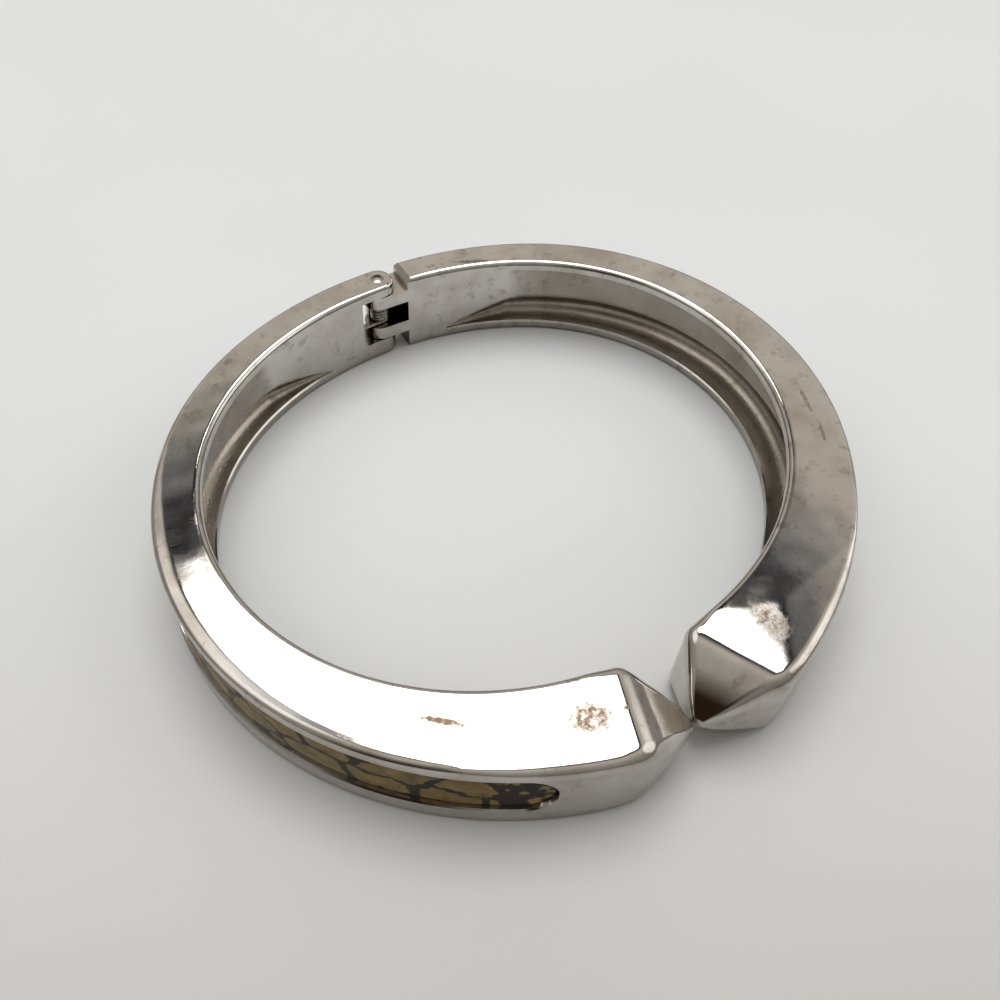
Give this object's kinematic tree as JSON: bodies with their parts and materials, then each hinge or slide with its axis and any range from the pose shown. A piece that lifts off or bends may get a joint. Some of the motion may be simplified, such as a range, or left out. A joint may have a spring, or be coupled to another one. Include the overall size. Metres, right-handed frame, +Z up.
{
  "type": "hinged bangle bracelet",
  "caption": "Hinged oval bangle with two tapering cast arms, a sprung pin hinge, an inlaid patterned strip outside and pyramid tips that meet point to point.",
  "frame": {"origin": "on the table under the bangle as it lies flat, midway between the back of the hinge and the front of the finials", "axes": "+Y towards the hinge, -Y towards the tips, +X across to the right arm, +Z up along the hinge pin"},
  "size_m": [0.069, 0.0632, 0.01],
  "materials": {
    "plated_alloy": "polished plating, worn and tarnished",
    "patterned_strip": "printed scale pattern under a clear coat",
    "pin_steel": "bright turned",
    "spring_steel": "drawn wire, dull"
  },
  "bodies": {
    "left_half": {"left_arm": "plated_alloy", "left_inlay": "patterned_strip", "hinge_pin": "pin_steel", "hinge_spring": "spring_steel"},
    "right_half": {"right_arm": "plated_alloy", "right_inlay": "patterned_strip"}
  },
  "joints": [
    {"name": "hinge_open", "type": "hinge", "parent": "left_half", "child": "right_half", "pos_m": [0, 0.0299, 0], "axis": [0, 0, 1], "range_deg": [0, 55], "stiffness_Nm_per_rad": 0.011, "springref_deg": -57.3, "deforming": ["hinge_spring"]}
  ]
}
